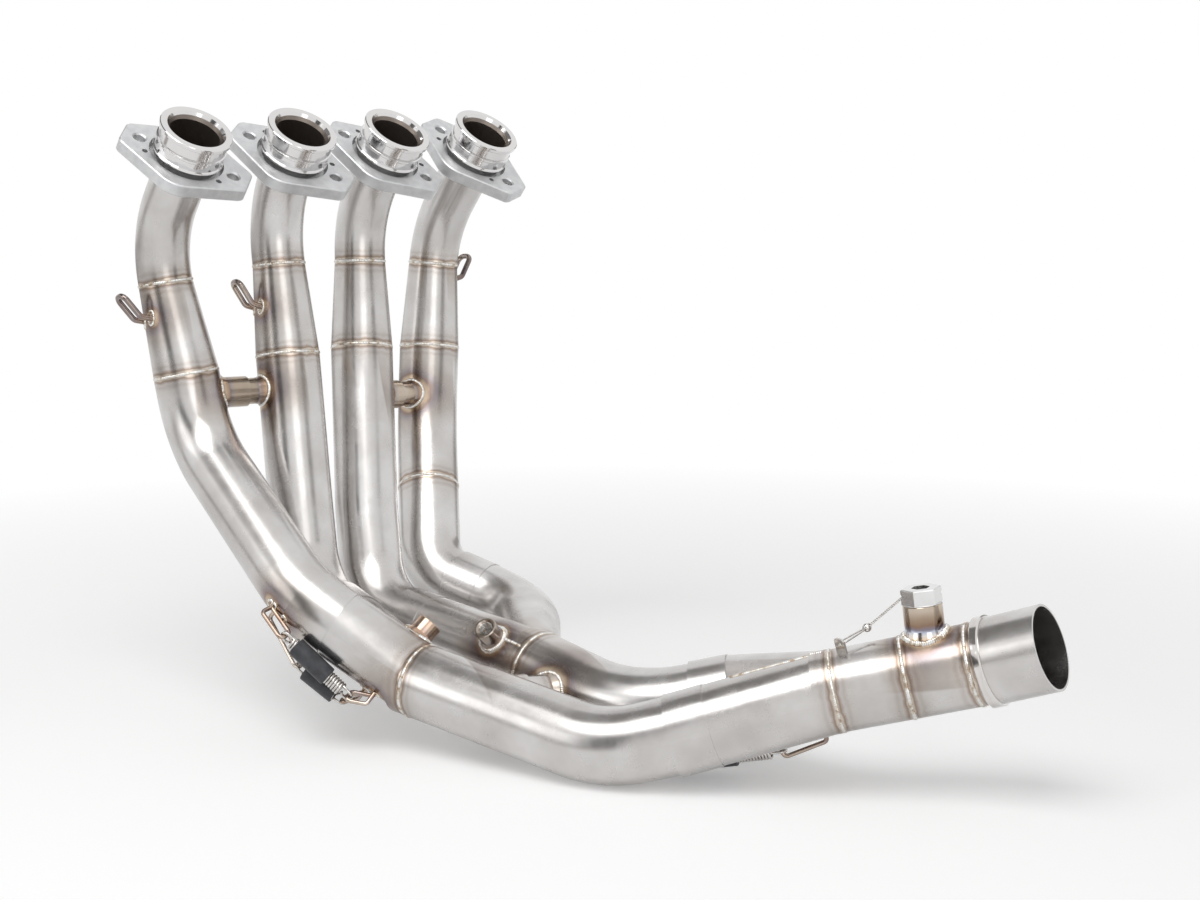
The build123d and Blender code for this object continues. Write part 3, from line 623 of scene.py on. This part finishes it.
satin_nodes = ["primary_bend_4", "front_collector", "far_collector", "final_collector"]
satin_nodes += ["front_secondary", "far_secondary", "main_tube", "tail_tube", "outlet_spigot"]
satin_nodes += ["crossover_tube", "crossover_sleeve"]
for number in (1, 2, 3, 4):
    satin_nodes += [f"upper_bend_{number}", f"cone_{number}", f"primary_tube_{number}"]
for node in satin_nodes:
    dress(node, tube_steel(node))

# Balance tubes and sensor bungs: small thick pieces that took the welding heat right through,
# so they are straw coloured all over, with brown and blue close to their welds.
STRAW_DARK = (0.42, 0.365, 0.315)
STRAW_LIGHT = (0.61, 0.565, 0.51)
COPPER_DARK = (0.34, 0.25, 0.20)
COPPER_LIGHT = (0.60, 0.47, 0.38)
BROWN_DARK = (0.36, 0.32, 0.29)
BROWN_LIGHT = (0.60, 0.55, 0.50)
for pair, slot in (("12", "straw_tinted_steel"), ("34", "brushed_tube")):
    for node in (f"balance_tube_{pair}", f"balance_sleeve_{pair}"):
        finish = tube_steel(
            node, STRAW_DARK, STRAW_LIGHT, roughness=0.22, heat=STRONG_HEAT, amount=0.8
        )
        dress(node, finish)
for node, dark, light in (
    ("far_bung", BROWN_DARK, BROWN_LIGHT),
    ("front_bung", COPPER_DARK, COPPER_LIGHT),
):
    finish = tube_steel(node, dark, light, roughness=0.18, heat=STRONG_HEAT, amount=0.5)
    dress(node, finish)
BANDS_FROM_MM = 26.0
BANDS_TO_MM = 45.5
BANDS_RAGGED_MM = 3.0
BUNG_BANDS = [
    (0.0, (0.78, 0.62, 0.45)),
    (0.10, (0.74, 0.70, 0.67)),
    (0.20, (0.52, 0.55, 0.64)),
    (0.28, (0.24, 0.22, 0.27)),
    (0.40, (0.26, 0.17, 0.12)),
    (0.62, (0.36, 0.27, 0.20)),
    (0.88, (0.54, 0.46, 0.38)),
]
banded, shader = new_finish("steel_main_bung", Metallic=1.0, Roughness=0.14)
place = step(banded, "TexCoord", {}, output=3)
height = from_axis(banded, place, main_bung_start, main_bung_axis)[0]
inputs = {0: noise(banded, place, size_mm=8.0), 1: BANDS_RAGGED_MM * MM, 2: height}
uneven = step(banded, "Math", inputs, operation="MULTIPLY_ADD")
inputs = {"Value": uneven, "From Min": BANDS_FROM_MM * MM, "From Max": BANDS_TO_MM * MM}
tone = colours(banded, step(banded, "MapRange", inputs), BUNG_BANDS)
banded.node_tree.links.new(tone, shader.inputs["Base Color"])
grain(banded, shader, place, size_mm=0.5, depth_mm=0.005, strength=0.3)
dress("main_bung", banded)

# Hooks: bent from round steel rod and welded on by their feet, browned by the torch.
# The hanger hooks on the cones take the springs of the engine's brackets.
HANGER_DARK = (0.20, 0.17, 0.17)
HANGER_LIGHT = (0.50, 0.44, 0.40)
SPRING_HOOK_LIGHT = (0.66, 0.62, 0.58)
for hook in hook_metal:
    dark, light = COPPER_DARK, SPRING_HOOK_LIGHT
    if hook.startswith("hanger"):
        dark, light = HANGER_DARK, HANGER_LIGHT
    finish = tube_steel(hook, dark, light, roughness=0.13, heat=STRONG_HEAT, amount=0.5)
    dress(hook, finish)

# Threads inside the two open bungs: a fine ridge that winds down the bore.
# Each is one wire on a helix, half sunk in the bore's wall.
THREAD_PITCH_MM = 1.25
THREAD_R_MM = 5.15
THREAD_RIDGE_MM = 0.36
THREAD_LENGTH_MM = 12.0


def wire(name, points, radius_mm, sides=3):
    """A round wire through the given points, closed at both ends."""
    line = bpy.data.curves.new(name, "CURVE")
    line.dimensions = "3D"
    line.bevel_depth = radius_mm * MM
    line.bevel_resolution = sides
    line.use_fill_caps = True
    run = line.splines.new("POLY")
    run.points.add(len(points) - 1)
    for point, place in zip(run.points, points):
        point.co = (*place, 1.0)
    bent = bpy.data.objects.new(name + "_line", line)
    bpy.context.scene.collection.objects.link(bent)
    mesh = bpy.data.meshes.new_from_object(bent)
    bpy.data.objects.remove(bent)
    mesh.name = name
    mesh.shade_smooth()
    piece = bpy.data.objects.new(name, mesh)
    bpy.context.scene.collection.objects.link(piece)
    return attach(piece, "header")


TURN_POINTS = 24


def helix(start, axis, radius_mm, pitch_mm, length_mm):
    """Points that wind about an axis."""
    first, second = square_pair(axis)
    points = []
    for index in range(int(length_mm / pitch_mm * TURN_POINTS) + 1):
        angle = 2 * math.pi * index / TURN_POINTS
        out = first * math.cos(angle) + second * math.sin(angle)
        rise = axis * (pitch_mm * index / TURN_POINTS * MM)
        points.append(start + rise + out * (radius_mm * MM))
    return points


for name, start, axis, top_mm in (
    ("far_bung_thread", far_bung_start, far_bung_axis, 37.5),
    ("front_bung_thread", front_bung_start, front_bung_axis, 36.5),
):
    foot = start + axis * (top_mm - THREAD_LENGTH_MM) * MM
    turns = helix(foot, axis, THREAD_R_MM, THREAD_PITCH_MM, THREAD_LENGTH_MM)
    thread = wire(name, turns, THREAD_RIDGE_MM, 1)
    dress(thread, weld_metal)

# Springs over the slip joints: close-wound stainless wire with a bent-over loop at each end.
# They pull the pipes together and let them move as they heat.
SPRING_WIRE_MM = 0.95
COIL_MIDDLE_MM = 4.05
COIL_PITCH_MM = 2.05
LOOP_MIDDLE_MM = 3.8
LOOP_CENTRE_MM = 4.9
LOOP_TIP_MM = 6.0
LOOP_TURN = 250
LOOP_STEPS = 18
spring_wire, shader = new_finish("spring_wire", Metallic=1.0, Roughness=0.17)
place = step(spring_wire, "TexCoord", {}, output=3)
SPRING_TONES = [(0.35, (0.50, 0.48, 0.46)), (0.6, (0.66, 0.64, 0.62))]
tone = colours(spring_wire, noise(spring_wire, place, size_mm=4.0), SPRING_TONES)
spring_wire.node_tree.links.new(tone, shader.inputs["Base Color"])
grain(spring_wire, shader, place, size_mm=0.4, depth_mm=0.01, strength=0.3)


def spring_frame(node):
    """A spring's end point, its long direction, its loops' flat direction and its length."""
    points = np.array([vert.co for vert in nodes[node].data.vertices])
    middle = points.mean(0)
    axis = np.linalg.svd(points - middle, full_matrices=False)[2][0]
    along = (points - middle) @ axis
    length = along.max() - along.min()
    tip = points[along < along.min() + LOOP_TIP_MM * MM] - middle
    flat = tip - np.outer(tip @ axis, axis)
    loop_way = np.linalg.svd(flat, full_matrices=False)[2][0]
    return Vector(middle + axis * along.min()), Vector(axis), Vector(loop_way), length


def end_loop(centre, out, on, from_degrees, to_degrees):
    """Points along part of an end loop; the angle runs from out towards on."""
    points = []
    for index in range(LOOP_STEPS + 1):
        share = index / LOOP_STEPS
        angle = math.radians(from_degrees + (to_degrees - from_degrees) * share)
        turned = out * math.cos(angle) + on * math.sin(angle)
        points.append(centre + turned * (LOOP_MIDDLE_MM * MM))
    return points


for name in ("front_1", "front_2", "final"):
    start, axis, loop_way, length = spring_frame(f"spring_{name}")
    coil_from = 2 * LOOP_CENTRE_MM * MM
    coil_length = length - 2 * coil_from
    turns = round(coil_length / (COIL_PITCH_MM * MM))
    first_eye = start + axis * LOOP_CENTRE_MM * MM
    last_eye = start + axis * (length - LOOP_CENTRE_MM * MM)
    path = end_loop(first_eye, loop_way, axis, -LOOP_TURN, 0)
    side_way = axis.cross(loop_way)
    for index in range(turns * TURN_POINTS + 1):
        angle = 2 * math.pi * index / TURN_POINTS
        out = loop_way * math.cos(angle) + side_way * math.sin(angle)
        rise = axis * (coil_from + coil_length * index / (turns * TURN_POINTS))
        path.append(start + rise + out * (COIL_MIDDLE_MM * MM))
    path += end_loop(last_eye, loop_way, axis, 0, LOOP_TURN)
    coil = wire(f"coiled_spring_{name}", path, SPRING_WIRE_MM, 3)
    dress(coil, spring_wire)
    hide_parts(f"spring_{name}")

# Rubber sleeves: short black tubes over the springs that stop them from ringing.
# They are matt and a little dusty.
rubber, shader = new_finish("black_rubber", Roughness=0.5)
place = step(rubber, "TexCoord", {}, output=3)
RUBBER_TONES = [(0.35, (0.030, 0.031, 0.036)), (0.7, (0.055, 0.057, 0.064))]
tone = colours(rubber, noise(rubber, place, size_mm=5.0, detail=5.0), RUBBER_TONES)
rubber.node_tree.links.new(tone, shader.inputs["Base Color"])
grain(rubber, shader, place, size_mm=0.7, depth_mm=0.08, strength=0.4)
for name in ("front_1", "front_2", "final"):
    dress(f"spring_rubber_{name}", rubber)

# Bung plug and its safety wire: a turned and milled hexagon plug, and two thin wires twisted
# together from the plug's corner hole to a crimped ferrule, then looped through a welded tab.
STRAND_MM = 0.42
TWIST_PITCH_MM = 3.0
STRAND_POINTS_PER_MM = 5
LEG_WIRE_MM = 0.55
PLUG_DARK = (0.66, 0.66, 0.66)
PLUG_LIGHT = (0.74, 0.735, 0.73)
WIRE_HOLE_MM = 49.5
CORNER_MM = 10.8
EYE_HEIGHT_MM = 31.4
LOOP_SHAPE = ((0.0, 0.5), (0.3, 1.3), (0.75, 1.8), (0.93, 2.2), (1.04, 1.2))
plug_finish = tube_steel("bung_plug", PLUG_DARK, PLUG_LIGHT, roughness=0.20, amount=0.0)
dress("bung_plug", plug_finish)
for node in ("wire_crimp", "wire_tab"):
    dress(node, spring_wire)
corner_way = Vector((0.6756, 0.7373, 0.12))
corner_way = (corner_way - main_bung_axis * corner_way.dot(main_bung_axis)).normalized()
wire_hole = main_bung_start + main_bung_axis * WIRE_HOLE_MM * MM
wire_exit = wire_hole - corner_way * CORNER_MM * MM
crimp = from_row(430.7, 73.8, 111.0)
tab_up = Vector((-0.03, -0.334, 0.944)).normalized()
tab_hole = from_row(428.5, 62.8, 74.2) + tab_up * EYE_HEIGHT_MM * MM
away = (crimp - wire_exit).normalized()
first, second = square_pair(away)
wires = []
for number, side in ((1, 0.0), (2, math.pi)):
    strand = []
    for index in range(int((crimp - wire_exit).length / MM * STRAND_POINTS_PER_MM)):
        travel = index / STRAND_POINTS_PER_MM
        angle = side + 2 * math.pi * travel / TWIST_PITCH_MM
        out = first * math.cos(angle) + second * math.sin(angle)
        strand.append(wire_exit + away * travel * MM + out * STRAND_MM * MM)
    wires.append(wire(f"safety_wire_strand_{number}", strand, STRAND_MM, 2))
leg = tab_hole - crimp
beside = leg.cross(tab_up).normalized()
down = [crimp + leg * share + beside * aside * MM for share, aside in LOOP_SHAPE]
back = [crimp + leg * share - beside * aside * MM for share, aside in reversed(LOOP_SHAPE)]
wires.append(wire("safety_wire_loop", down + back, LEG_WIRE_MM, 2))
for strand in wires:
    dress(strand, spring_wire)
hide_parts("safety_wire")

# Outlet ring: a turned steel bead welded round the end of the tail, where the outlet begins.
# It is polished brighter than the tubes.
RING_DARK = (0.66, 0.65, 0.64)
RING_LIGHT = (0.74, 0.73, 0.72)
ring_finish = tube_steel("outlet_ring", RING_DARK, RING_LIGHT, roughness=0.12, amount=0.6)
dress("outlet_ring", ring_finish)

# The floor: a white studio sweep that keeps the header's soft shadow.
# It is matt under the header and fades to plain white further out.
FLOOR_HALF = 30.0
SHADOW_FADE_FROM = 0.45
SHADOW_FADE_TO = 1.2
FLOOR_LIFT = 0.25
WHITE = (1.0, 1.0, 1.0, 1.0)
FLOOR_PAINT = (0.86, 0.86, 0.86, 1.0)
floor_shape = bmesh.new()
bmesh.ops.create_grid(floor_shape, x_segments=1, y_segments=1, size=FLOOR_HALF)
low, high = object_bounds()
centre = (low + high) / 2
under = Vector((centre.x, centre.y, cad_box[0][2]))
bmesh.ops.translate(floor_shape, verts=floor_shape.verts, vec=under)
floor_mesh = bpy.data.meshes.new("floor")
floor_shape.to_mesh(floor_mesh)
floor_shape.free()
floor = bpy.data.objects.new("floor", floor_mesh)
bpy.context.scene.collection.objects.link(floor)
white = bpy.data.materials.new("white_floor")
white.use_nodes = True
white.node_tree.nodes.clear()
place = step(white, "TexCoord", {}, output=3)
offset = step(white, "VectorMath", {0: place, 1: tuple(under)}, operation="SUBTRACT")
distance = step(white, "VectorMath", {0: offset}, output=1, operation="LENGTH")
limits = {"Value": distance, "From Min": SHADOW_FADE_FROM, "From Max": SHADOW_FADE_TO}
fade = step(white, "MapRange", limits)


def seen_directly(material):
    """1 for the camera's own rays and for those that metal and glass send on, else 0."""
    rays = material.node_tree.nodes.new("ShaderNodeLightPath").outputs
    seen = calculate(material, "MAXIMUM", rays["Is Camera Ray"], rays["Is Glossy Ray"])
    return calculate(material, "MAXIMUM", seen, rays["Is Transmission Ray"])


seen = seen_directly(white)
share = calculate(white, "MULTIPLY", seen, fade)
matt_white = step(white, "BsdfDiffuse", {"Color": FLOOR_PAINT})
plain_white = step(white, "Emission", {"Color": WHITE, "Strength": 1.0})
lift = calculate(white, "MULTIPLY", seen, FLOOR_LIFT)
glow = step(white, "Emission", {"Color": WHITE, "Strength": lift})
lifted = step(white, "AddShader", {0: matt_white, 1: glow})
mixed = step(white, "MixShader", {0: share, 1: lifted, 2: plain_white})
output = white.node_tree.nodes.new("ShaderNodeOutputMaterial")
white.node_tree.links.new(mixed, output.inputs["Surface"])
floor_mesh.materials.append(white)

# The room: a white surround, soft boxes above and beside, and grey boards that give the metal
# its darker bands, as in a product studio.
ROOM_LEVEL = 0.42
world = bpy.data.worlds.new("studio")
bpy.context.scene.world = world
world.use_nodes = True
world.node_tree.nodes.clear()
dim = step(world, "Background", {"Color": WHITE, "Strength": ROOM_LEVEL})
bright = step(world, "Background", {"Color": WHITE, "Strength": 1.0})
mixed = step(world, "MixShader", {0: seen_directly(world), 1: dim, 2: bright})
output = world.node_tree.nodes.new("ShaderNodeOutputWorld")
world.node_tree.links.new(mixed, output.inputs["Surface"])

CAMERA_PLACE = from_row(1200.0, -854.0, 404.0)
CAMERA_HEADING = 47.5
CAMERA_PITCH = 81.31
LENS_MM = 59.7


def around_header(side, height, distance):
    """A place round the header: degrees to the right of the camera, degrees up, and metres."""
    heading = math.radians(CAMERA_HEADING - 90.0 + side)
    rise = math.radians(height)
    flat = Vector((math.cos(heading), math.sin(heading), 0.0))
    return centre + (flat * math.cos(rise) + Vector((0, 0, 1)) * math.sin(rise)) * distance


def facing(place):
    """The turn that makes a lamp or board at that place face the header."""
    return (centre - place).to_track_quat("-Z", "Y").to_euler()


def soft_box(name, side, height, distance, width, depth, radiance):
    """A lamp with an evenly bright face of the given size in metres."""
    lamp = bpy.data.lights.new(name, "AREA")
    lamp.shape = "RECTANGLE"
    lamp.size = width
    lamp.size_y = depth
    lamp.energy = radiance * math.pi * width * depth
    box = bpy.data.objects.new(name, lamp)
    bpy.context.scene.collection.objects.link(box)
    box.location = around_header(side, height, distance)
    box.rotation_euler = facing(box.location)


def grey_board(name, side, height, distance, width, depth, shade):
    """A board that only reflections see."""
    shape = bmesh.new()
    bmesh.ops.create_grid(shape, x_segments=1, y_segments=1, size=0.5)
    bmesh.ops.scale(shape, vec=(width, depth, 1.0), verts=shape.verts)
    mesh = bpy.data.meshes.new(name)
    shape.to_mesh(mesh)
    shape.free()
    board = bpy.data.objects.new(name, mesh)
    bpy.context.scene.collection.objects.link(board)
    board.location = around_header(side, height, distance)
    board.rotation_euler = facing(board.location)
    paint = bpy.data.materials.new(name)
    paint.use_nodes = True
    paint.node_tree.nodes.clear()
    grey = (shade, shade * 0.97, shade * 0.94, 1.0)
    flat = step(paint, "Emission", {"Color": grey, "Strength": 1.0})
    output = paint.node_tree.nodes.new("ShaderNodeOutputMaterial")
    paint.node_tree.links.new(flat, output.inputs["Surface"])
    mesh.materials.append(paint)
    board.visible_camera = False
    board.visible_diffuse = False
    board.visible_shadow = False


for name, side, height, distance, width, depth, radiance in (
    ("top_box", -25.0, 58.0, 1.9, 1.7, 1.1, 3.2),
    ("front_box", 16.0, 12.0, 2.4, 1.0, 1.6, 1.1),
    ("left_box", -64.0, 17.0, 2.4, 0.9, 0.9, 1.05),
):
    soft_box(name, side, height, distance, width, depth, radiance)
for name, side, height, distance, width, depth, shade in (
    ("left_low_board_1", -50.0, -5.0, 2.5, 2.0, 0.5, 0.45),
    ("left_low_board_2", -92.0, -5.0, 2.5, 2.0, 0.5, 0.45),
    ("left_low_board_3", -134.0, -5.0, 2.5, 2.0, 0.5, 0.45),
    ("left_high_board", -108.0, 54.0, 2.4, 2.5, 1.6, 0.22),
    ("left_front_board", -37.0, 17.0, 2.6, 0.8, 1.7, 0.12),
    ("right_board", 60.0, 8.0, 2.6, 0.75, 1.8, 0.32),
    ("right_back_board", 150.0, 8.0, 2.8, 1.2, 2.0, 0.40),
):
    grey_board(name, side, height, distance, width, depth, shade)

# The camera: about 1.5 m from the ports, on the outlet's side and as high as the ports are.
# It looks slightly down, so that the floor shows under every pipe.
camera = bpy.data.cameras.new("camera")
camera.lens = LENS_MM
camera.sensor_width = 36.0
camera.clip_start = 0.05
camera.clip_end = 100.0
viewer = bpy.data.objects.new("camera", camera)
bpy.context.scene.collection.objects.link(viewer)
viewer.location = CAMERA_PLACE
viewer.rotation_euler = (math.radians(CAMERA_PITCH), 0.0, math.radians(CAMERA_HEADING))
bpy.context.scene.camera = viewer
bpy.context.scene.view_settings.view_transform = "Standard"
